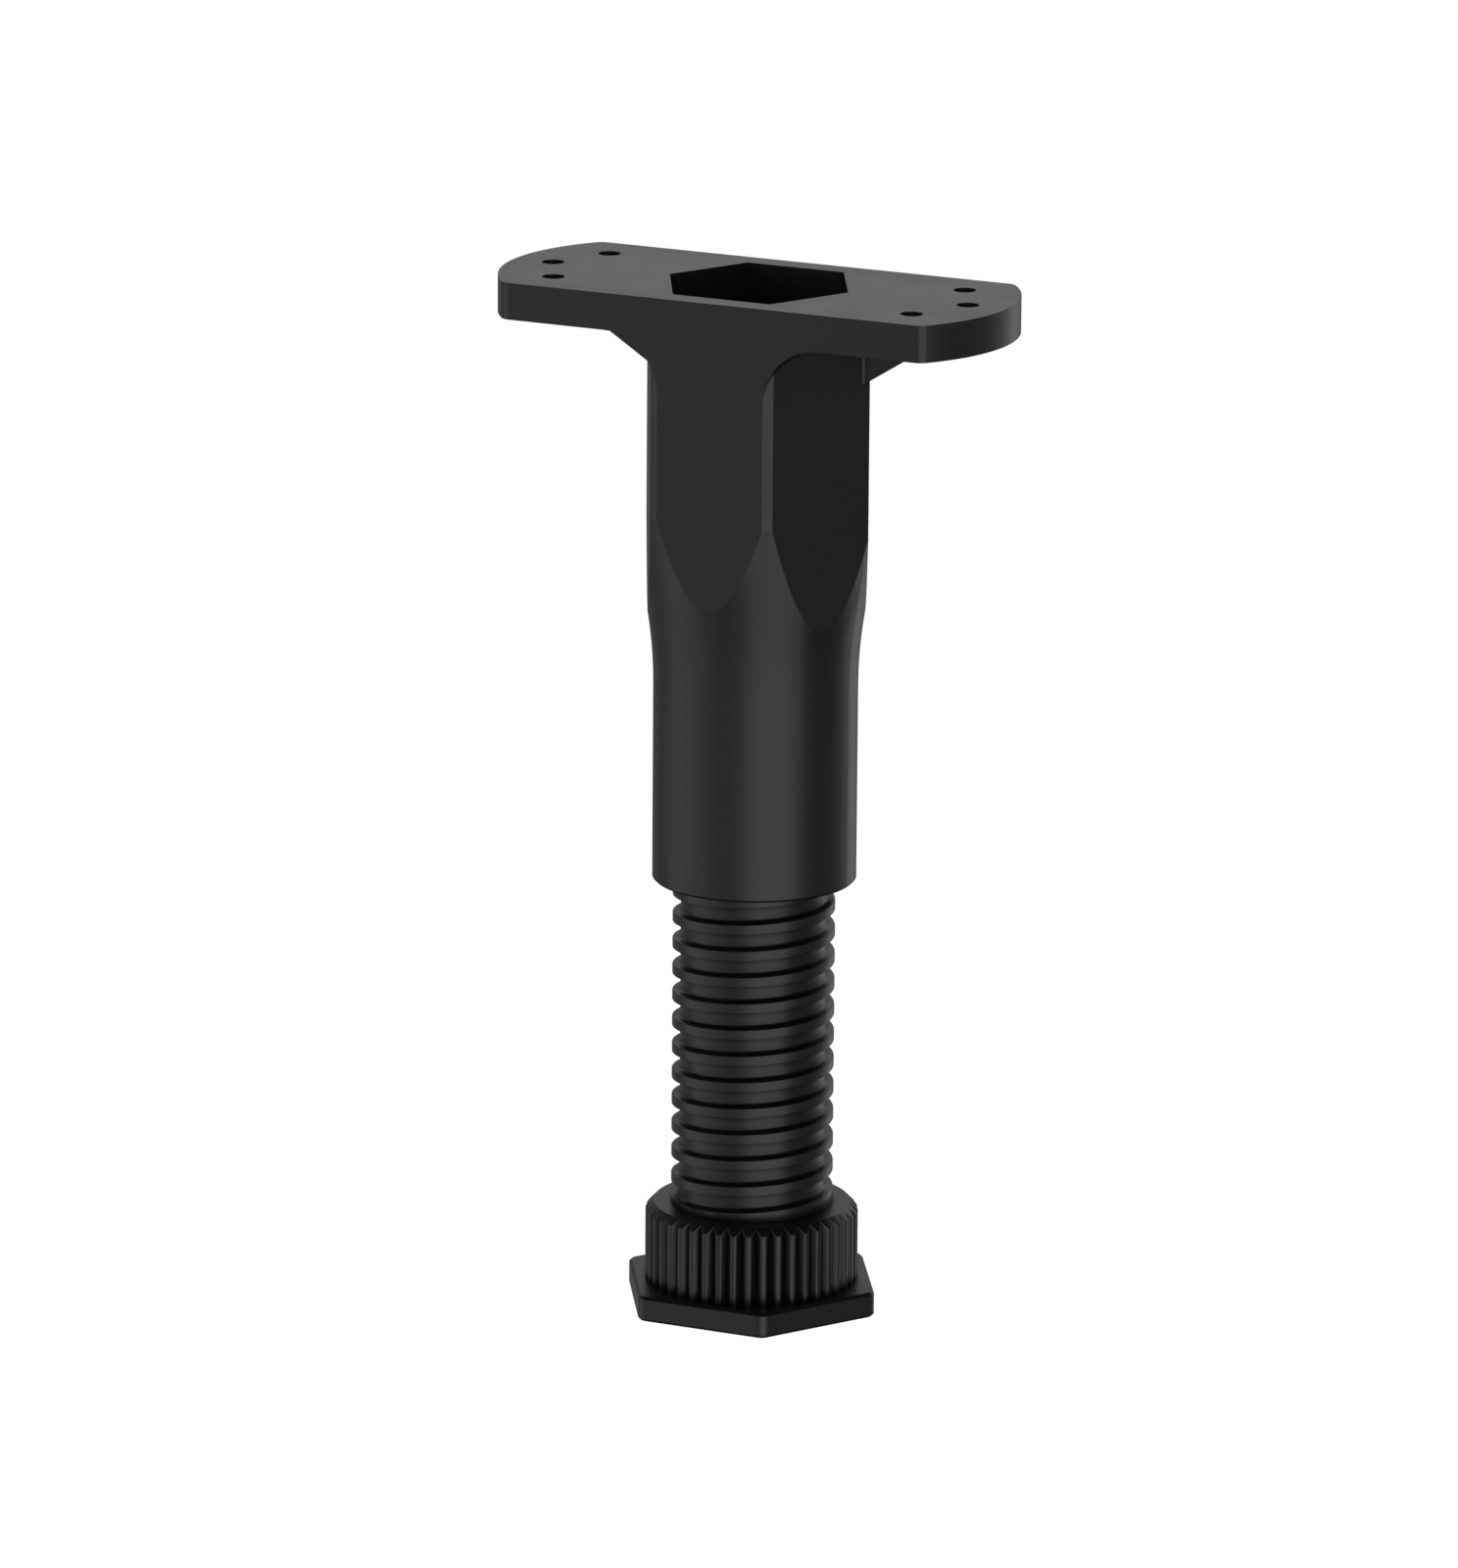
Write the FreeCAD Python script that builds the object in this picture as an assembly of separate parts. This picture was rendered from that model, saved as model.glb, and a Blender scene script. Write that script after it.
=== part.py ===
import FreeCAD, Part
import math
import os

from FreeCAD import Vector

# Adjustable bed support leg: a flanged upper leg that stands on a screw foot.
# Millimetres, +Z up, origin on the floor at the middle of the foot, X along the flange plate.

# Heights, from the floor up
BASE_THICKNESS = 5.7
COLLAR_HEIGHT = 17.5
EXPOSED_THREAD = 74.4        # thread that shows between collar and tube at this setting
LEG_LENGTH = 134.0           # upper leg, from tube end to plate top
ENGAGED_THREAD = 30.0        # spindle inside the tube at this setting

# Screw thread
THREAD_DIAMETER = 36.0
THREAD_DEPTH = 1.8
THREAD_PITCH = 6.0
THREAD_CREST = 2.2           # width of the ridge at its top
THREAD_FLANK_ANGLE = 12.0    # degrees from square
THREAD_PHASE = 1.4           # height of the ridge over the X axis, within one pitch
THREAD_CLEARANCE = 0.3       # radial, between ridge and bore
THREAD_FACETS = 30           # flat facets in one turn
TIP_HEIGHT = 2.5             # tapered end above the thread
TIP_TAPER = 1.5              # radius lost over the tip
NECK_HEIGHT = 1.4            # plain ring between collar and thread

# Spindle and foot
SPINDLE_WALL = 4.5
SPINDLE_CAP = 4.0
COLLAR_STEP = 5.7            # collar radius over thread radius
COLLAR_EDGE = 1.8            # chamfer round the collar's top
COLLAR_WALL = 3.2
COLLAR_ROOF = 4.2
RIB_COUNT = 44
RIB_TIP = 1.1                # width of a rib at its tip
RIB_GAP = 0.9                # width of a groove at its bottom
RIB_DEPTH = 1.5
BASE_LEDGE = 2.6             # base beyond the collar, at its flats
BASE_CORNER_RADIUS = 2.5
BASE_EDGE = 0.6              # chamfer round top and bottom
WEB_COUNT = 6
WEB_THICKNESS = 2.8

# Upper leg
TUBE_WALL = 4.3
TUBE_EDGE = 0.5              # chamfer round the tube end
BORE_LEAD_IN = 1.0
SHOULDER_ANGLE = 9.0         # degrees, lean of the shoulder's cone
SHOULDER_BLEND = 100.0       # radius of the hollow sweep from cone to tube
SHOULDER_END = 89.7          # below the plate top, where the tube begins
HEX_SIDE_LEAN = 62.6         # degrees between the sloping sides and the X axis
SOCKET_EASE = 0.8            # socket half width over bore radius
SOCKET_DEPTH = 62.0
SOCKET_RAMP = 4.0
COLUMN_FRONT_WALL = 5.6
COLUMN_SIDE_WALL = 4.8
CORNER_TRIM = 0.7            # taken off the column's corners by the round form

# Flange plate
PLATE_LENGTH = 118.4
PLATE_STRAIGHT = 100.0       # length of the straight long edges
PLATE_THICKNESS = 8.2
PLATE_CORNER_RADIUS = 3.0
PLATE_EDGE = 0.4             # chamfer round the top
SCREW_HOLE_DIAMETER = 5.0
SCREW_SPACING_X = 86.0
SCREW_SPACING_Y = 28.0
END_SCREW_SPACING = 100.0
FLARE_RADIUS = 13.0          # from the column's flat front and back to the plate
GUSSET_THICKNESS = 3.2
GUSSET_REACH = 44.2          # from the axis to the outer end under the plate
GUSSET_SLOPE = 0.63          # fall per unit run of its free edge
GUSSET_FILLET = 0.9          # where it meets the column

# Sizes that follow
COLLAR_TOP = BASE_THICKNESS + COLLAR_HEIGHT
TUBE_END = COLLAR_TOP + EXPOSED_THREAD
SPINDLE_TOP = TUBE_END + ENGAGED_THREAD
LEG_TOP = TUBE_END + LEG_LENGTH
PLATE_UNDERSIDE = LEG_TOP - PLATE_THICKNESS
THREAD_RADIUS = THREAD_DIAMETER / 2
ROOT_RADIUS = THREAD_RADIUS - THREAD_DEPTH
CORE_RADIUS = ROOT_RADIUS - SPINDLE_WALL
COLLAR_RADIUS = THREAD_RADIUS + COLLAR_STEP
RIB_ROOT_RADIUS = COLLAR_RADIUS - RIB_DEPTH
BASE_RADIUS = (COLLAR_RADIUS + BASE_LEDGE) / math.cos(math.pi / 6)
BORE_RADIUS = THREAD_RADIUS + THREAD_CLEARANCE
TUBE_RADIUS = BORE_RADIUS + TUBE_WALL
SOCKET_HALF = BORE_RADIUS + SOCKET_EASE
COLUMN_HALF_DEPTH = SOCKET_HALF + COLUMN_FRONT_WALL
COLUMN_SIDE = SOCKET_HALF + COLUMN_SIDE_WALL
SIDE_LEAN = math.radians(HEX_SIDE_LEAN)
COLUMN_VERTEX = COLUMN_SIDE / math.sin(SIDE_LEAN)
COLUMN_CORNER = COLUMN_VERTEX - COLUMN_HALF_DEPTH / math.tan(SIDE_LEAN)
CORNER_RADIUS = math.hypot(COLUMN_CORNER, COLUMN_HALF_DEPTH) - CORNER_TRIM
FRONT_FLAT = math.sqrt(CORNER_RADIUS ** 2 - COLUMN_HALF_DEPTH ** 2)
SINK = 1.0                   # overlap of joined bodies inside one moulding


def segment(start, end):
    return Part.LineSegment(start, end).toShape()


def arc(start, middle, end):
    return Part.Arc(start, middle, end).toShape()


def revolved(edges):
    """Solid of revolution about Z from edges in the XZ plane that start and end on the axis."""
    ends = edges[-1].Vertexes[-1].Point, edges[0].Vertexes[0].Point
    face = Part.Face(Part.Wire(edges + [segment(*ends)]))
    return face.revolve(Vector(0, 0, 0), Vector(0, 0, 1), 360)


def turned(points):
    """Solid of revolution from (radius, height) points."""
    path = [Vector(radius, 0, height) for radius, height in points]
    return revolved([segment(a, b) for a, b in zip(path, path[1:])])


def prism(points, height):
    return Part.Face(Part.makePolygon(points + points[:1])).extrude(Vector(0, 0, height))


def vertical_edges(shape):
    return [e for e in shape.Edges if e.BoundBox.XLength + e.BoundBox.YLength < 1e-4]


def edges_at(shape, height):
    return [e for e in shape.Edges if abs(e.BoundBox.ZMin - height) + abs(e.BoundBox.ZMax - height) < 1e-4]


def six_sided_prism(half_depth, side, bottom, top):
    """Prism with flat front and back and two leaning sides at each end."""
    vertex = side / math.sin(SIDE_LEAN)
    corner = vertex - half_depth / math.tan(SIDE_LEAN)
    outline = [(vertex, 0), (corner, half_depth), (-corner, half_depth)]
    outline += [(-x, -y) for x, y in outline]
    return prism([Vector(x, y, bottom) for x, y in outline], top - bottom)


def flange_plate():
    """Plate with straight long edges, arched ends and rounded corners."""
    half, straight, reach = COLUMN_HALF_DEPTH, PLATE_STRAIGHT / 2, PLATE_LENGTH / 2
    z = PLATE_UNDERSIDE
    front_left, front_right = Vector(-straight, -half, z), Vector(straight, -half, z)
    back_left, back_right = Vector(-straight, half, z), Vector(straight, half, z)
    outline = Part.Wire([
        segment(front_left, front_right),
        arc(front_right, Vector(reach, 0, z), back_right),
        segment(back_right, back_left),
        arc(back_left, Vector(-reach, 0, z), front_left),
    ])
    plate = Part.Face(outline).extrude(Vector(0, 0, PLATE_THICKNESS))
    plate = plate.makeFillet(PLATE_CORNER_RADIUS, vertical_edges(plate))
    return plate.makeChamfer(PLATE_EDGE, edges_at(plate, LEG_TOP))


def screw_holes():
    """Cylinders for the four corner holes and the two end holes."""
    x, y = SCREW_SPACING_X / 2, SCREW_SPACING_Y / 2
    places = [(x, y), (x, -y), (-x, y), (-x, -y)]
    places += [(END_SCREW_SPACING / 2, 0), (-END_SCREW_SPACING / 2, 0)]
    depth = PLATE_THICKNESS + 2 * SINK
    low = PLATE_UNDERSIDE - SINK
    return [Part.makeCylinder(SCREW_HOLE_DIAMETER / 2, depth, Vector(x, y, low)) for x, y in places]


def flare():
    """Hollow sweep from the edge of the flat front up to the plate, for the +X -Y quarter."""
    radius, z = FLARE_RADIUS, PLATE_UNDERSIDE

    def point(out, height):
        return Vector(FRONT_FLAT + out, -COLUMN_HALF_DEPTH, height)

    bulge = radius * (1 - math.sqrt(0.5))
    points = [point(0, z - radius), point(-SINK, z - radius), point(-SINK, z + SINK),
              point(radius, z + SINK), point(radius, z)]
    edges = [segment(a, b) for a, b in zip(points, points[1:])]
    edges.append(arc(point(radius, z), point(bulge, z - bulge), point(0, z - radius)))
    return Part.Face(Part.Wire(edges)).extrude(Vector(0, COLUMN_HALF_DEPTH, 0))


def in_four_quarters(shape):
    across = shape.mirror(Vector(0, 0, 0), Vector(0, 1, 0))
    pair = [shape, across]
    return pair + [s.mirror(Vector(0, 0, 0), Vector(1, 0, 0)) for s in pair]


def round_form():
    """Envelope of revolution: tube, shoulder and column corners."""
    lean, blend = math.radians(SHOULDER_ANGLE), SHOULDER_BLEND
    tube_top = LEG_TOP - SHOULDER_END

    def point(radius, height):
        return Vector(radius, 0, height)

    def on_blend(angle):
        return point(TUBE_RADIUS + blend * (1 - math.cos(angle)), tube_top + blend * math.sin(angle))

    cone_low = on_blend(lean)
    cone_high = point(CORNER_RADIUS, cone_low.z + (CORNER_RADIUS - cone_low.x) / math.tan(lean))
    top = PLATE_UNDERSIDE + SINK
    return revolved([
        segment(point(0, TUBE_END), point(TUBE_RADIUS - TUBE_EDGE, TUBE_END)),
        segment(point(TUBE_RADIUS - TUBE_EDGE, TUBE_END), point(TUBE_RADIUS, TUBE_END + TUBE_EDGE)),
        segment(point(TUBE_RADIUS, TUBE_END + TUBE_EDGE), point(TUBE_RADIUS, tube_top)),
        arc(point(TUBE_RADIUS, tube_top), on_blend(lean / 2), cone_low),
        segment(cone_low, cone_high),
        segment(cone_high, point(CORNER_RADIUS, top)),
        segment(point(CORNER_RADIUS, top), point(0, top)),
    ])


def column():
    """Six-sided column that runs into the round tube through the shoulder."""
    body = six_sided_prism(COLUMN_HALF_DEPTH, COLUMN_SIDE, TUBE_END, PLATE_UNDERSIDE + SINK)
    return body.common(round_form()).multiFuse(in_four_quarters(flare()))


def gussets():
    """Stiffening ribs under the plate on the middle line, one at each end."""
    inside = COLUMN_VERTEX - COLUMN_SIDE_WALL / 2
    drop = (GUSSET_REACH - inside) * GUSSET_SLOPE
    z, half = PLATE_UNDERSIDE, GUSSET_THICKNESS / 2
    outline = [(inside, z + SINK), (GUSSET_REACH, z + SINK), (GUSSET_REACH, z), (inside, z - drop)]
    path = [Vector(x, -half, height) for x, height in outline]
    rib = Part.Face(Part.makePolygon(path + path[:1])).extrude(Vector(0, GUSSET_THICKNESS, 0))
    return [rib, rib.mirror(Vector(0, 0, 0), Vector(1, 0, 0))]


def socket_and_bore():
    """Six-sided socket from the plate, ramped down to the round bore that takes the spindle."""
    floor, top = LEG_TOP - SOCKET_DEPTH, LEG_TOP + SINK
    wide = 2 * SOCKET_HALF
    bore = turned([(0, TUBE_END - SINK), (BORE_RADIUS + BORE_LEAD_IN + SINK, TUBE_END - SINK),
                   (BORE_RADIUS, TUBE_END + BORE_LEAD_IN), (BORE_RADIUS, floor), (0, floor)])
    ramp_foot = floor - SOCKET_RAMP
    ramp_head = ramp_foot + wide - BORE_RADIUS
    ramp = turned([(0, ramp_foot), (BORE_RADIUS, ramp_foot), (wide, ramp_head), (wide, top), (0, top)])
    return bore.fuse(six_sided_prism(SOCKET_HALF, SOCKET_HALF, ramp_foot, top).common(ramp))


def gusset_corners(shape):
    """Upright edges where the gussets stand on the column's sides."""
    half = GUSSET_THICKNESS / 2
    return [e for e in vertical_edges(shape) if abs(abs(e.CenterOfMass.y) - half) < 1e-3
            and e.CenterOfMass.z < PLATE_UNDERSIDE]


def upper_leg():
    """Plate, column, tube and gussets: one moulding."""
    body = flange_plate().multiFuse([column()] + gussets()).removeSplitter()
    body = body.makeFillet(GUSSET_FILLET, gusset_corners(body))
    return body.cut([socket_and_bore()] + screw_holes()).removeSplitter()


def hex_base():
    """Six-sided floor plate with rounded corners and edges."""
    corners = [Vector(BASE_RADIUS * math.cos(a), BASE_RADIUS * math.sin(a), 0)
               for a in (i * math.pi / 3 for i in range(6))]
    plate = prism(corners, BASE_THICKNESS)
    plate = plate.makeFillet(BASE_CORNER_RADIUS, vertical_edges(plate))
    return plate.makeChamfer(BASE_EDGE, edges_at(plate, 0) + edges_at(plate, BASE_THICKNESS))


def ribbed_collar():
    """Grip collar: pointed upright ribs with grooves between them, and a chamfered top."""
    tip, gap = RIB_TIP / 2 / COLLAR_RADIUS, RIB_GAP / 2 / RIB_ROOT_RADIUS
    step = 2 * math.pi / RIB_COUNT
    low = BASE_THICKNESS - SINK

    def point(radius, angle):
        return Vector(radius * math.cos(angle), radius * math.sin(angle), low)

    outline = []
    for i in range(RIB_COUNT):
        rib, groove = i * step, (i + 0.5) * step
        outline += [point(COLLAR_RADIUS, rib - tip), point(COLLAR_RADIUS, rib + tip)]
        outline += [point(RIB_ROOT_RADIUS, groove - gap), point(RIB_ROOT_RADIUS, groove + gap)]
    limit = COLLAR_RADIUS + SINK
    blank = turned([(0, low), (limit, low), (limit, COLLAR_TOP - COLLAR_EDGE - SINK),
                    (COLLAR_RADIUS - COLLAR_EDGE, COLLAR_TOP), (0, COLLAR_TOP)])
    return prism(outline, COLLAR_TOP - low).common(blank)


def facet(*points):
    return Part.Face(Part.makePolygon(list(points) + [points[0]]))


def threaded_rod(low, high):
    """Right-hand thread wound round the axis in flat facets, cut square at both heights."""
    half_crest = THREAD_CREST / 2
    half_foot = half_crest + THREAD_DEPTH * math.tan(math.radians(THREAD_FLANK_ANGLE))
    profile = [(ROOT_RADIUS, -half_foot), (THREAD_RADIUS, -half_crest), (THREAD_RADIUS, half_crest),
               (ROOT_RADIUS, half_foot), (ROOT_RADIUS, THREAD_PITCH - half_foot)]
    first_turn = math.floor((low - THREAD_PHASE) / THREAD_PITCH) - 1
    turns = math.ceil((high - low) / THREAD_PITCH) + 3
    start, count = first_turn * THREAD_PITCH + THREAD_PHASE, turns * THREAD_FACETS

    def point(step, corner):
        radius, height = profile[corner]
        angle = 2 * math.pi * step / THREAD_FACETS
        rise = start + height + THREAD_PITCH * step / THREAD_FACETS
        return Vector(radius * math.cos(angle), radius * math.sin(angle), rise)

    faces = []
    for i in range(count):
        for corner in range(4):
            a, b = point(i, corner), point(i + 1, corner)
            c, d = point(i + 1, corner + 1), point(i, corner + 1)
            on_cylinder = profile[corner][0] == profile[corner + 1][0]
            faces += [facet(a, b, c, d)] if on_cylinder else [facet(a, b, c), facet(a, c, d)]
    for end, edge, apex in ((0, 0, low - THREAD_PITCH), (count, 4, high + THREAD_PITCH)):
        tip = Vector(0, 0, apex)
        steps = range(THREAD_FACETS) if end == 0 else range(count - THREAD_FACETS, count)
        faces += [facet(point(i, edge), point(i + 1, edge), tip) for i in steps]
        faces.append(facet(tip, *[point(end, corner) for corner in range(5)]))
    skin = Part.makeCompound(faces)
    skin.sewShape()
    rod = Part.Solid(skin.Shells[0])
    return rod.common(Part.makeCylinder(2 * THREAD_RADIUS, high - low, Vector(0, 0, low)))


def spindle():
    """Threaded spindle with a plain neck on the collar and a tapered tip."""
    neck_low, neck_top = COLLAR_TOP - SINK, COLLAR_TOP + NECK_HEIGHT
    thread_top = SPINDLE_TOP - TIP_HEIGHT
    neck = Part.makeCylinder(THREAD_RADIUS, neck_top - neck_low, Vector(0, 0, neck_low))
    tip = Part.makeCone(ROOT_RADIUS, ROOT_RADIUS - TIP_TAPER, TIP_HEIGHT, Vector(0, 0, thread_top))
    return threaded_rod(neck_top, thread_top).multiFuse([neck, tip])


def cored_underside():
    """Hollows that keep the moulding's walls even: the spindle's core and a webbed ring in the collar."""
    core = Part.makeCylinder(CORE_RADIUS, SPINDLE_TOP - SPINDLE_CAP + SINK, Vector(0, 0, -SINK))
    outer, inner = RIB_ROOT_RADIUS - COLLAR_WALL, ROOT_RADIUS
    height = COLLAR_TOP - COLLAR_ROOF + SINK
    ring = Part.makeCylinder(outer, height, Vector(0, 0, -SINK))
    ring = ring.cut(Part.makeCylinder(inner, height, Vector(0, 0, -SINK)))
    webs = []
    for i in range(WEB_COUNT):
        web = Part.makeBox(outer + SINK, WEB_THICKNESS, height, Vector(0, -WEB_THICKNESS / 2, -SINK))
        web.rotate(Vector(0, 0, 0), Vector(0, 0, 1), i * 360 / WEB_COUNT)
        webs.append(web)
    return [core, ring.cut(webs)]


def screw_foot():
    """Hexagonal base, ribbed collar and threaded spindle: one moulding."""
    body = hex_base().multiFuse([ribbed_collar(), spindle()])
    return body.cut(cored_underside()).removeSplitter()


os.makedirs("parts", exist_ok=True)
for name, build in (("upper_leg", upper_leg), ("screw_foot", screw_foot)):
    shape = build()
    shape.exportStep("parts/" + name + ".step")
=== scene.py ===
import bmesh
import bpy
import math
from mathutils import Matrix, Vector


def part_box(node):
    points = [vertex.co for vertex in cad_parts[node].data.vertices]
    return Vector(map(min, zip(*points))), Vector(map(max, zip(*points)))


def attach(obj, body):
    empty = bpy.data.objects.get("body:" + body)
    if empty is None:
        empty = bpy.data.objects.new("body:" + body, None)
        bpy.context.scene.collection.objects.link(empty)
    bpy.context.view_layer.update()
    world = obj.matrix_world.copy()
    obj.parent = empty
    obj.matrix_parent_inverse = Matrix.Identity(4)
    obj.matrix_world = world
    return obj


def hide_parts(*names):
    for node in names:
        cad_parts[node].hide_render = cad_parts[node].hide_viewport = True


# Looks of the adjustable bed support leg: smooth thread, pointed rib grooves, black moulded plastic.
# Metres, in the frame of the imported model.

MM = 0.001

# Grip collar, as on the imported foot, with pointed grooves
COLLAR_LOW = 5.7 * MM            # top of the base
COLLAR_HEIGHT = 17.5 * MM
COLLAR_EDGE = 1.8 * MM           # chamfer round the top, measured from the ribs' tips
RIB_COUNT = 44
RIB_TIP = 1.1 * MM               # width of a rib at its tip
RIB_RADIUS = 23.7 * MM
RIB_DEPTH = 1.5 * MM
RIB_ROUND = 0.35 * MM            # rounding of the ribs' edges
RIB_TURN = math.radians(-0.95)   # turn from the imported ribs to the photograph's
COLLAR_HIGH = COLLAR_LOW + COLLAR_HEIGHT
COLLAR_TOP_RADIUS = RIB_RADIUS - COLLAR_EDGE
GROOVE_RADIUS = RIB_RADIUS - RIB_DEPTH

# Thread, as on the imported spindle
THREAD_RADIUS = 18.0 * MM
THREAD_DEPTH = 1.8 * MM
THREAD_PITCH = 6.0 * MM
THREAD_CREST = 2.2 * MM
THREAD_FLANK_ANGLE = math.radians(12.0)
THREAD_PHASE = 1.4 * MM          # height of the ridge over the X axis, within one pitch
NECK_HEIGHT = 1.4 * MM           # plain ring between collar and thread
TIP_HEIGHT = 2.5 * MM            # tapered end above the thread
TIP_TAPER = 1.5 * MM             # radius lost over the tip
ROOT_RADIUS = THREAD_RADIUS - THREAD_DEPTH
THREAD_LOW = COLLAR_HIGH + NECK_HEIGHT

# Roundings of the ridge, from its lower foot up
LOWER_FOOT_ROUND = 0.2 * MM
LOWER_EDGE_ROUND = 0.08 * MM
UPPER_EDGE_ROUND = 0.35 * MM
UPPER_FOOT_ROUND = 0.7 * MM

# Meshing
THREAD_STEPS = 120               # steps in one turn
SPARE_TURNS = 1                  # turns past each end, cut away
ROUND_STEPS = 4                  # steps in a rounding
ROUND_LIMIT = 2.2                # a rounding takes at most a side's length divided by this
WELD = 0.002 * MM                # points closer than this are joined
NEAR = 0.02 * MM                 # points closer than this count as in the same place
CUT_NEAR = 0.0001 * MM           # points this close to a cut count as on it
COLLAR_SKIN = 0.1 * MM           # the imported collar's outer faces end within this of its top edge
SPINDLE_SKIN = 0.6 * MM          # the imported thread's outer faces end within this of its root
UPWARD = 0.5                     # a face whose normal rises more than this looks up

# Edges of the mouldings
PLATE_CHAMFER = 0.4 * MM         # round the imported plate's top, drawn sharp here
CHAMFER_RISE = (0.5, 0.9)        # upward part of the chamfer's normal lies between these
CRISP_ANGLE = math.radians(2.5)  # packed borders that turn less than this are smooth
FOLD_ANGLE = math.radians(35.0)  # folds made here that turn more than this are crisp

# Black plastic
PLASTIC_COLOUR = (0.005, 0.005, 0.0052, 1)
PLASTIC_IOR = 1.5
LEG_ROUGHNESS = 0.36
FOOT_ROUGHNESS = 0.34
LEG_EDGE = 0.15 * MM             # softening of the leg's edges
FOOT_EDGE = 0.10 * MM            # and of the foot's
EDGE_SAMPLES = 6
PATCH_SCALE = 60.0
PATCH_DETAIL = 3.0
PATCH_SPREAD = 0.04              # roughness gained or lost in patches
GRAIN_SCALE = 900.0
GRAIN_DETAIL = 2.0
GRAIN_STRENGTH = 0.04
GRAIN_HEIGHT = 0.05 * MM
# Painted shade in grooves and creases, set by how open a place is
PAINTED_SHADE_REACH = 2.2 * MM          # painted shade: shine is taken away where other surfaces lie closer than this
PAINTED_SHADE_SAMPLES = 8
FULL_SHADE_OPENNESS = 0.42             # painted shade: a place this open has no shine left
NO_SHADE_OPENNESS = 0.92            # a place this open has all its shine
FULL_SHINE = 0.5

# White floor and dim room
FLOOR_REACH = 6.0                # from the middle to each side
FLOOR_DROP = 0.2 * MM            # under the foot
ROOM_BRIGHTNESS = 0.21           # dim light from the walls of the room
WALL_RISE = 0.35                 # directions that rise or fall less than this meet a wall
DARK_RISE = 0.6                  # directions that rise or fall more than this meet the dark

# Camera, as in the photograph
CAMERA_AZIMUTH = math.radians(25.251)
CAMERA_ELEVATION = math.radians(14.471)
CAMERA_ROLL = math.radians(0.407)
CAMERA_DISTANCE = 2418.97 * MM
CAMERA_AIM = Vector((-1.935, -9.28, 120.7)) * MM
CAMERA_LENS = 252.46             # millimetres
CAMERA_SENSOR = 36.0             # millimetres on the long side
CAMERA_CLIP = (0.05, 50.0)

# Light panels: degrees round from the camera, width in degrees, brightness, low and high edge
PANEL_DISTANCE = 1.2
PANELS = {
    "key": (20.0, 60.0, 1.14, -1.2, 0.9),
    "fill_left": (-30.0, 40.0, 0.23, -1.2, 0.9),
    "edge_left": (-60.0, 20.0, 0.50, -1.2, 0.9),
    "side_left": (-90.0, 40.0, 0.66, -1.2, 0.9),
    "side_right": (120.0, 20.0, 0.20, -0.5, 0.9),
    "back_right": (140.0, 20.0, 0.68, -0.5, 0.9),
    "back": (180.0, 60.0, 0.79, 0.45, 0.9),
}

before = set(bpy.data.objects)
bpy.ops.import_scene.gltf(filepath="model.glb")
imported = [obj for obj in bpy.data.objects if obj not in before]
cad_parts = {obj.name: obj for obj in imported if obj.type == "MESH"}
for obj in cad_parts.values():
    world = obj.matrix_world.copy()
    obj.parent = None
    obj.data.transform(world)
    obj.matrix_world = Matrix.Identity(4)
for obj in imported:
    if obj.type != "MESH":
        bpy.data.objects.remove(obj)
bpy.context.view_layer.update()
PLATE_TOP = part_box("upper_leg")[1].z
SPINDLE_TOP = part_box("screw_foot")[1].z
TIP_LOW = SPINDLE_TOP - TIP_HEIGHT


def rounded(points, radii):
    """Polyline with its inner corners turned into short curves."""
    path = [points[0]]
    for before, corner, after, radius in zip(points, points[1:], points[2:], radii):
        to_before, to_after = before - corner, after - corner
        cut = min(radius, to_before.length / ROUND_LIMIT, to_after.length / ROUND_LIMIT)
        start = corner + to_before.normalized() * cut
        end = corner + to_after.normalized() * cut
        for i in range(ROUND_STEPS + 1):
            t = i / ROUND_STEPS
            path.append(start * (1 - t) ** 2 + corner * 2 * t * (1 - t) + end * t ** 2)
    path.append(points[-1])
    return path


def polar(radius, angle, height):
    """Point at a radius and angle round the screw axis."""
    return Vector((radius * math.cos(angle), radius * math.sin(angle), height))


def thread_profile():
    """(radius, height) points of the ridge over one pitch, from groove middle to groove middle."""
    half_crest = THREAD_CREST / 2
    half_foot = half_crest + THREAD_DEPTH * math.tan(THREAD_FLANK_ANGLE)
    half_pitch = THREAD_PITCH / 2
    corners = [(ROOT_RADIUS, -half_pitch), (ROOT_RADIUS, -half_foot), (THREAD_RADIUS, -half_crest),
               (THREAD_RADIUS, half_crest), (ROOT_RADIUS, half_foot), (ROOT_RADIUS, half_pitch)]
    radii = [LOWER_FOOT_ROUND, LOWER_EDGE_ROUND, UPPER_EDGE_ROUND, UPPER_FOOT_ROUND]
    return rounded([Vector(c) for c in corners], radii)


def cut_level(mesh, faces, height, **side):
    """Cuts some of a bmesh's faces at a height, clears one side and returns the faces that are left."""
    faces = [f for f in faces if f.is_valid]
    edges = dict.fromkeys(e for f in faces for e in f.edges)
    points = dict.fromkeys(v for f in faces for v in f.verts)
    cut = bmesh.ops.bisect_plane(mesh, geom=[*faces, *edges, *points], dist=CUT_NEAR,
                                 plane_co=(0, 0, height), plane_no=(0, 0, 1), **side)
    return [g for g in cut["geom"] if isinstance(g, bmesh.types.BMFace)]


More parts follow.
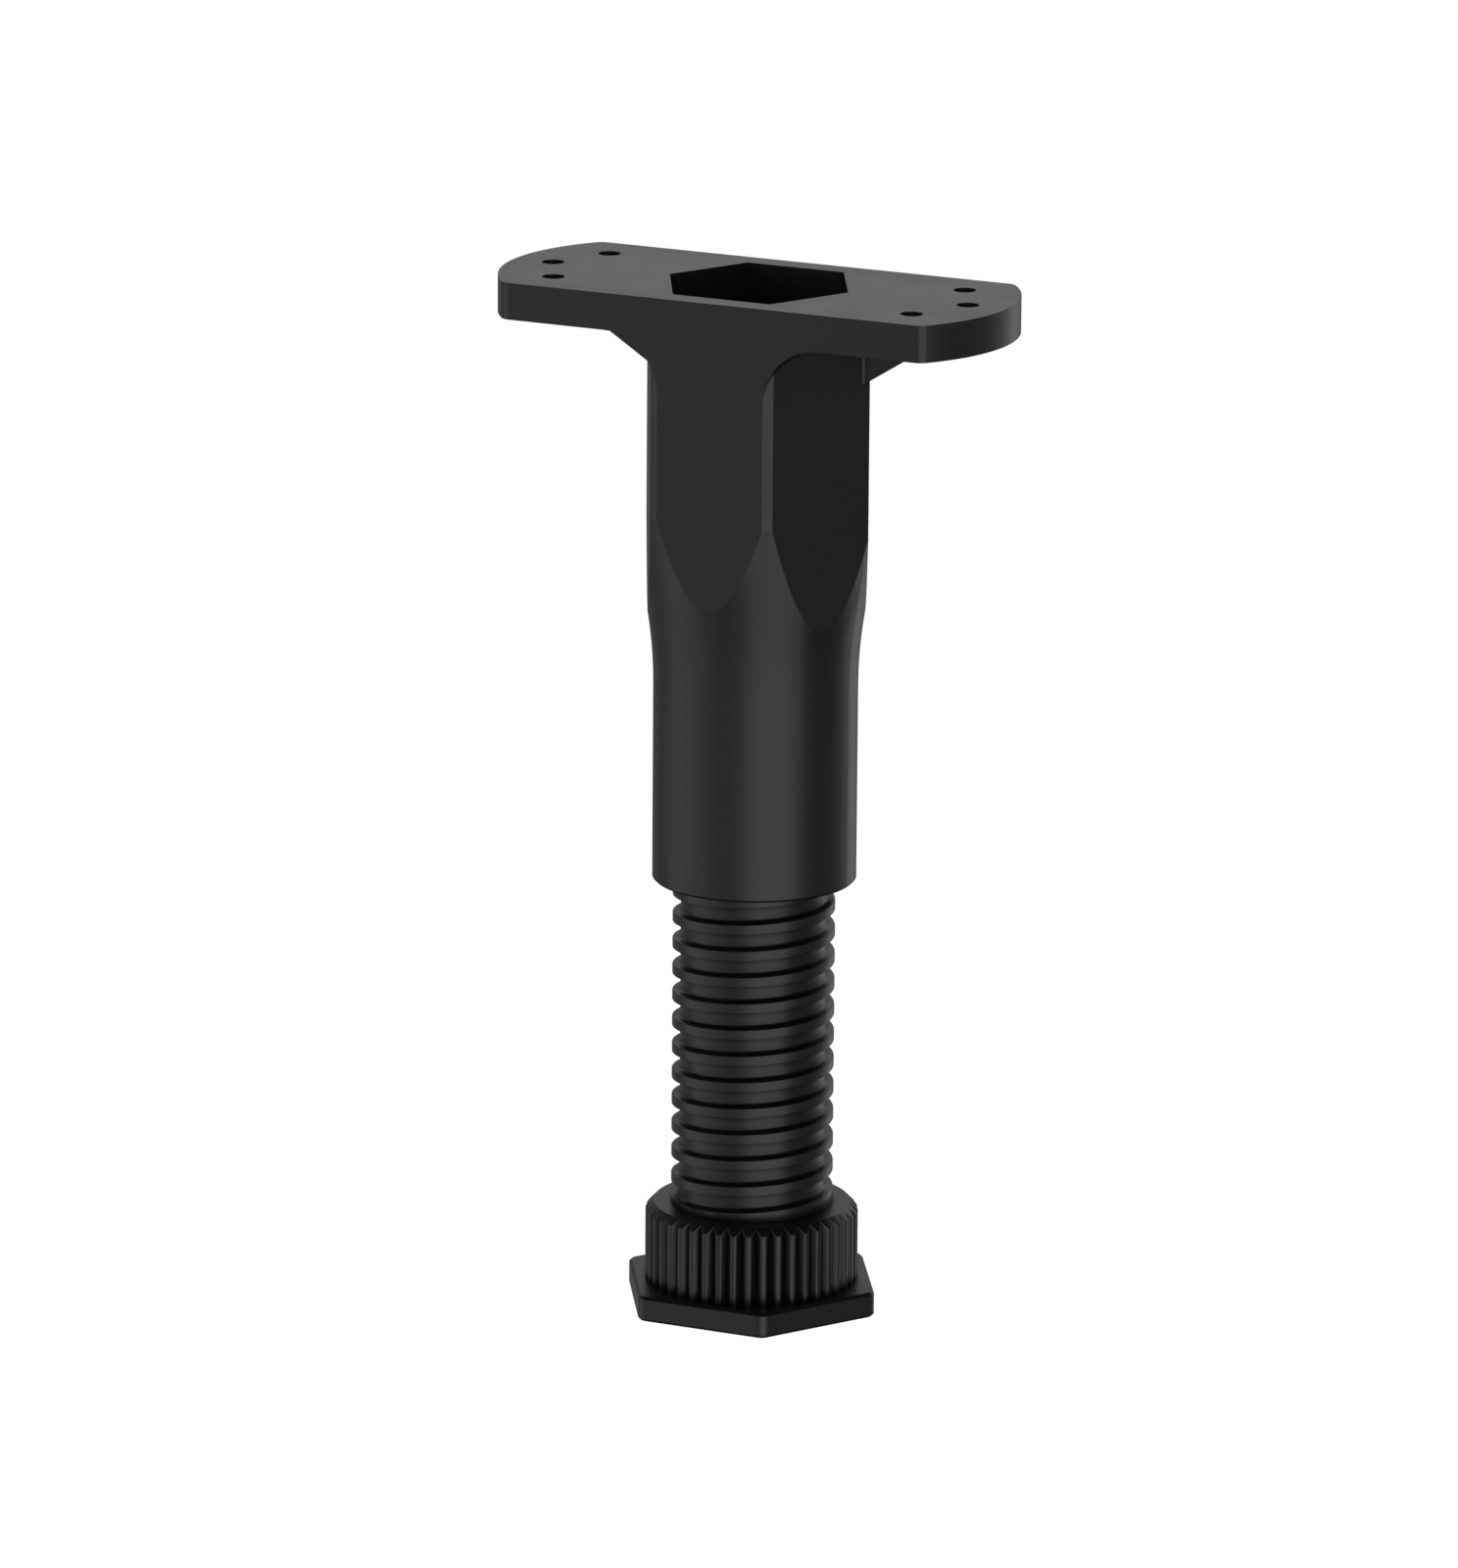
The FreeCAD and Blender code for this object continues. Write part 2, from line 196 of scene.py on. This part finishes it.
def add_thread(mesh):
    """Adds the smooth right-hand thread to a bmesh, cut square at both ends."""
    profile = thread_profile()
    first = math.floor((THREAD_LOW - THREAD_PHASE) / THREAD_PITCH) - SPARE_TURNS
    turns = math.ceil((TIP_LOW - THREAD_LOW) / THREAD_PITCH) + 2 * SPARE_TURNS + 1
    start = first * THREAD_PITCH + THREAD_PHASE
    rungs = []
    for step in range(turns * THREAD_STEPS + 1):
        angle = 2 * math.pi * step / THREAD_STEPS
        rise = start + THREAD_PITCH * step / THREAD_STEPS
        rungs.append([mesh.verts.new(polar(r, angle, rise + h)) for r, h in profile])
    faces = []
    for one, two in zip(rungs, rungs[1:]):
        for i in range(len(profile) - 1):
            faces.append(mesh.faces.new((one[i], two[i], two[i + 1], one[i + 1])))
    bmesh.ops.remove_doubles(mesh, verts=[v for rung in rungs for v in rung], dist=WELD)
    faces = cut_level(mesh, faces, THREAD_LOW, clear_inner=True)
    cut_level(mesh, faces, TIP_LOW, clear_outer=True)


def rib_outline():
    """(radius, angle) points from one groove's middle to the next, over a rib with a rounded tip."""
    half_step, half_tip = math.pi / RIB_COUNT, RIB_TIP / 2 / RIB_RADIUS
    corners = [(GROOVE_RADIUS, -half_step), (RIB_RADIUS, -half_tip),
               (RIB_RADIUS, half_tip), (GROOVE_RADIUS, half_step)]
    flat = [polar(radius, angle, 0).to_2d() for radius, angle in corners]
    return [(p.length, math.atan2(p.y, p.x)) for p in rounded(flat, [RIB_ROUND, RIB_ROUND])]


def collar_side(radius):
    """(radius, height) points up the collar's side and over its chamfer."""
    shoulder = COLLAR_HIGH - (radius - COLLAR_TOP_RADIUS)
    corners = [(radius, COLLAR_LOW), (radius, shoulder), (COLLAR_TOP_RADIUS, COLLAR_HIGH)]
    return rounded([Vector(c) for c in corners], [RIB_ROUND])


def add_collar(mesh):
    """Adds the grip collar's ribs to a bmesh."""
    outline = rib_outline()[:-1]
    columns = []
    for rib in range(RIB_COUNT):
        for radius, angle in outline:
            turn = 2 * math.pi * rib / RIB_COUNT + RIB_TURN + angle
            columns.append([mesh.verts.new(polar(r, turn, z)) for r, z in collar_side(radius)])
    for one, two in zip(columns, columns[1:] + columns[:1]):
        for i in range(len(one) - 1):
            mesh.faces.new((one[i], two[i], two[i + 1], one[i + 1]))


def open_edges(mesh, height):
    """Edges of a bmesh at a height with only one face."""
    return [e for e in mesh.edges
            if e.is_boundary and all(abs(v.co.z - height) < WELD for v in e.verts)]


def open_ring(mesh, height):
    """Points of the open edges at a height, in order round the screw axis."""
    points = dict.fromkeys(v for e in open_edges(mesh, height) for v in e.verts)
    return sorted(points, key=lambda v: math.atan2(v.co.y, v.co.x))


def ring_beside(mesh, ring, radius, height):
    """Points at the same angles as a ring; those that are already in place are used again."""
    points = []
    for old in ring:
        place = polar(radius, math.atan2(old.co.y, old.co.x), height)
        points.append(old if (old.co - place).length < NEAR else mesh.verts.new(place))
    return points


def add_band(mesh, one, two):
    """Faces between two rings with the same number of points."""
    for around in zip(one, one[1:] + one[:1], two[1:] + two[:1], two):
        corners = list(dict.fromkeys(around))
        if len(corners) > 2:
            mesh.faces.new(corners)


def fill_level(mesh, height):
    """Flat faces between the open edges of a bmesh at a height."""
    bmesh.ops.triangle_fill(mesh, edges=open_edges(mesh, height), normal=(0, 0, 1), use_beauty=True)


def add_spindle(mesh):
    """Adds the neck, the thread and the tapered tip to a bmesh."""
    add_thread(mesh)
    thread_start, thread_end = open_ring(mesh, THREAD_LOW), open_ring(mesh, TIP_LOW)
    neck_top = ring_beside(mesh, thread_start, THREAD_RADIUS, THREAD_LOW)
    neck_foot = ring_beside(mesh, neck_top, THREAD_RADIUS, COLLAR_HIGH)
    tip_foot = ring_beside(mesh, thread_end, ROOT_RADIUS, TIP_LOW)
    tip_end = ring_beside(mesh, tip_foot, ROOT_RADIUS - TIP_TAPER, SPINDLE_TOP)
    add_band(mesh, thread_start, neck_top)
    add_band(mesh, neck_top, neck_foot)
    add_band(mesh, thread_end, tip_foot)
    add_band(mesh, tip_foot, tip_end)
    mesh.faces.new(tip_end)


def is_packed_skin(face):
    """Whether a packed face is the base's top or the outside of the collar, neck, thread or tip."""
    middle = face.calc_center_median()
    radius = math.hypot(middle.x, middle.y)
    if abs(middle.z - COLLAR_LOW) < NEAR:
        return face.normal.z > UPWARD
    if middle.z < COLLAR_HIGH - NEAR:
        return middle.z > COLLAR_LOW and radius > COLLAR_TOP_RADIUS - COLLAR_SKIN
    return radius > ROOT_RADIUS - SPINDLE_SKIN or middle.z > TIP_LOW + NEAR


def finish_foot(mesh):
    """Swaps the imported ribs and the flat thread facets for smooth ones, in one closed skin."""
    mesh.normal_update()
    bmesh.ops.delete(mesh, geom=[f for f in mesh.faces if is_packed_skin(f)], context="FACES")
    packed_edges = set(mesh.edges)
    add_collar(mesh)
    add_spindle(mesh)
    fill_level(mesh, COLLAR_LOW)
    fill_level(mesh, COLLAR_HIGH)
    bmesh.ops.recalc_face_normals(mesh, faces=mesh.faces)
    for edge in mesh.edges:
        if edge not in packed_edges:
            edge.smooth = edge.calc_face_angle(0.0) < FOLD_ANGLE


def sharpen_plate_edge(mesh):
    """Draws the narrow chamfer round the plate's top together into one edge."""
    low = PLATE_TOP - PLATE_CHAMFER

    def at(point, height):
        return abs(point.co.z - height) < NEAR

    def is_chamfer(face):
        leaning = CHAMFER_RISE[0] < face.normal.z < CHAMFER_RISE[1]
        return leaning and all(at(v, low) or at(v, PLATE_TOP) for v in face.verts)

    mesh.normal_update()
    bmesh.ops.delete(mesh, geom=[f for f in mesh.faces if is_chamfer(f)], context="FACES")
    outer = [v for v in mesh.verts if at(v, low)]
    for point in [v for v in mesh.verts if at(v, PLATE_TOP)]:
        place = min(outer, key=lambda v: (v.co - point.co).length)
        if (place.co - point.co).length < 2 * PLATE_CHAMFER:
            point.co.x, point.co.y = place.co.x, place.co.y
    for point in outer:
        point.co.z = PLATE_TOP


def mark_edges(mesh):
    """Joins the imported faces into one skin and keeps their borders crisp."""
    for edge in mesh.edges:
        edge.smooth = edge.is_manifold
    bmesh.ops.remove_doubles(mesh, verts=mesh.verts, dist=WELD)
    for edge in mesh.edges:
        if edge.calc_face_angle(0.0) < CRISP_ANGLE:
            edge.smooth = True


def smooth_copy(name, node, body, before=None, after=None):
    """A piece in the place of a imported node, with smooth shading inside crisp borders."""
    mesh = bmesh.new()
    mesh.from_mesh(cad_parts[node].data)
    if before:
        before(mesh)
    mark_edges(mesh)
    if after:
        after(mesh)
    for face in mesh.faces:
        face.smooth = True
    data = bpy.data.meshes.new(name)
    mesh.to_mesh(data)
    mesh.free()
    piece = bpy.data.objects.new(name, data)
    bpy.context.scene.collection.objects.link(piece)
    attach(piece, body)
    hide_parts(node)
    return piece


def add_node(tree, kind, **inputs):
    """New shader node with some of its inputs set; an underscore stands for a space in their names."""
    node = tree.nodes.new("ShaderNode" + kind)
    for name, value in inputs.items():
        node.inputs[name.replace("_", " ")].default_value = value
    return node


def patchy_roughness(tree, place, roughness):
    """Roughness that varies a little in patches."""
    patches = add_node(tree, "TexNoise", Scale=PATCH_SCALE, Detail=PATCH_DETAIL)
    spread = add_node(tree, "MapRange", To_Min=roughness - PATCH_SPREAD, To_Max=roughness + PATCH_SPREAD)
    tree.links.new(place.outputs["Object"], patches.inputs["Vector"])
    tree.links.new(patches.outputs["Fac"], spread.inputs["Value"])
    return spread.outputs["Result"]


def painted_groove_shade(tree):
    """Shine with painted shade: dimmed in narrow grooves and creases by an occlusion node."""
    openness = add_node(tree, "AmbientOcclusion", Distance=PAINTED_SHADE_REACH)
    openness.samples = PAINTED_SHADE_SAMPLES
    openness.only_local = True
    shine = add_node(tree, "MapRange", From_Min=FULL_SHADE_OPENNESS, From_Max=NO_SHADE_OPENNESS,
                     To_Min=0.0, To_Max=FULL_SHINE)
    tree.links.new(openness.outputs["AO"], shine.inputs["Value"])
    return shine.outputs["Result"]


def grained_normal(tree, place, edge):
    """Faint grain over softened edges."""
    soft = add_node(tree, "Bevel", Radius=edge)
    soft.samples = EDGE_SAMPLES
    grain = add_node(tree, "TexNoise", Scale=GRAIN_SCALE, Detail=GRAIN_DETAIL)
    bump = add_node(tree, "Bump", Strength=GRAIN_STRENGTH, Distance=GRAIN_HEIGHT)
    tree.links.new(place.outputs["Object"], grain.inputs["Vector"])
    tree.links.new(grain.outputs["Fac"], bump.inputs["Height"])
    tree.links.new(soft.outputs["Normal"], bump.inputs["Normal"])
    return bump.outputs["Normal"]


def black_plastic(name, roughness, edge):
    """Satin black moulded plastic, with painted shade dimming its shine in grooves and creases."""
    material = bpy.data.materials.new(name)
    material.use_nodes = True
    tree = material.node_tree
    shader = tree.nodes["Principled BSDF"]
    shader.inputs["Base Color"].default_value = PLASTIC_COLOUR
    shader.inputs["IOR"].default_value = PLASTIC_IOR
    place = add_node(tree, "TexCoord")
    tree.links.new(patchy_roughness(tree, place, roughness), shader.inputs["Roughness"])
    # painted shade: shine dimmed in grooves and creases
    tree.links.new(painted_groove_shade(tree), shader.inputs["Specular IOR Level"])
    tree.links.new(grained_normal(tree, place, edge), shader.inputs["Normal"])
    return material


def cover(piece, node, material):
    """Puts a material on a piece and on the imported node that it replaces."""
    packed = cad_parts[node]
    packed.data.materials.clear()
    for thing in (piece, packed):
        thing.data.materials.append(material)


def white_for_camera(tree, surface, output, brightness):
    """White where the camera looks straight at it, another brightness for all other light."""
    tree.nodes.clear()
    path = add_node(tree, "LightPath")
    white = add_node(tree, surface, Color=(1, 1, 1, 1))
    other = add_node(tree, surface, Color=(brightness, brightness, brightness, 1))
    mix = add_node(tree, "MixShader")
    tree.links.new(path.outputs["Is Camera Ray"], mix.inputs["Fac"])
    tree.links.new(other.outputs[0], mix.inputs[1])
    tree.links.new(white.outputs[0], mix.inputs[2])
    tree.links.new(mix.outputs[0], add_node(tree, output).inputs["Surface"])
    return other


def white_floor():
    """Plain white floor that only the camera sees."""
    low, high = -FLOOR_REACH, FLOOR_REACH
    data = bpy.data.meshes.new("floor")
    data.from_pydata([(low, low, 0), (high, low, 0), (high, high, 0), (low, high, 0)], [], [(0, 1, 2, 3)])
    floor = bpy.data.objects.new("floor", data)
    bpy.context.scene.collection.objects.link(floor)
    floor.location.z = -FLOOR_DROP
    material = bpy.data.materials.new("floor white")
    material.use_nodes = True
    white_for_camera(material.node_tree, "Emission", "OutputMaterial", 0.0)
    data.materials.append(material)
    floor.visible_diffuse = False
    floor.visible_glossy = False
    floor.visible_shadow = False


def white_surroundings():
    """White behind the object for the camera, dim light from the walls for everything else."""
    world = bpy.data.worlds.new("studio")
    bpy.context.scene.world = world
    world.use_nodes = True
    tree = world.node_tree
    room = white_for_camera(tree, "Background", "OutputWorld", ROOM_BRIGHTNESS)
    place, split = add_node(tree, "TexCoord"), add_node(tree, "SeparateXYZ")
    steep = add_node(tree, "Math")
    steep.operation = "ABSOLUTE"
    fade = add_node(tree, "MapRange", From_Min=DARK_RISE, From_Max=WALL_RISE)
    tree.links.new(place.outputs["Generated"], split.inputs["Vector"])
    tree.links.new(split.outputs["Z"], steep.inputs[0])
    tree.links.new(steep.outputs[0], fade.inputs["Value"])
    tree.links.new(fade.outputs["Result"], room.inputs["Strength"])


def light_panels():
    """Tall soft panels round the object, placed by their angle from the camera."""
    for name, (turn, width, brightness, low, high) in PANELS.items():
        azimuth = CAMERA_AZIMUTH + math.radians(turn)
        outward = Vector((math.sin(azimuth), -math.cos(azimuth), 0))
        light = bpy.data.lights.new(name, "AREA")
        light.shape = "RECTANGLE"
        light.size = 2 * PANEL_DISTANCE * math.tan(math.radians(width) / 2)
        light.size_y = high - low
        light.energy = brightness * math.pi * light.size * light.size_y
        panel = bpy.data.objects.new(name, light)
        bpy.context.scene.collection.objects.link(panel)
        panel.location = outward * PANEL_DISTANCE + Vector((0, 0, (low + high) / 2))
        panel.rotation_euler = outward.to_track_quat("Z", "Y").to_euler()
        panel.visible_camera = False


def photo_camera():
    """Camera at the photograph's angle, distance and roll."""
    a, e, r = CAMERA_AZIMUTH, CAMERA_ELEVATION, CAMERA_ROLL
    back = Vector((math.sin(a) * math.cos(e), -math.cos(a) * math.cos(e), math.sin(e)))
    level = Vector((math.cos(a), math.sin(a), 0))
    rise = back.cross(level)
    right = level * math.cos(r) + rise * math.sin(r)
    up = rise * math.cos(r) - level * math.sin(r)
    data = bpy.data.cameras.new("camera")
    data.lens = CAMERA_LENS
    data.sensor_width = CAMERA_SENSOR
    data.clip_start, data.clip_end = CAMERA_CLIP
    camera = bpy.data.objects.new("camera", data)
    bpy.context.scene.collection.objects.link(camera)
    turn = Matrix((right, up, back)).transposed().to_4x4()
    camera.matrix_world = Matrix.Translation(CAMERA_AIM + back * CAMERA_DISTANCE) @ turn
    bpy.context.scene.camera = camera


leg = smooth_copy("leg_moulding", "upper_leg", "leg", before=sharpen_plate_edge)
foot = smooth_copy("foot_moulding", "screw_foot", "foot", after=finish_foot)
cover(leg, "upper_leg", black_plastic("upper leg plastic", LEG_ROUGHNESS, LEG_EDGE))
cover(foot, "screw_foot", black_plastic("screw foot plastic", FOOT_ROUGHNESS, FOOT_EDGE))
white_floor()
white_surroundings()
light_panels()
photo_camera()
bpy.context.scene.view_settings.view_transform = "Standard"
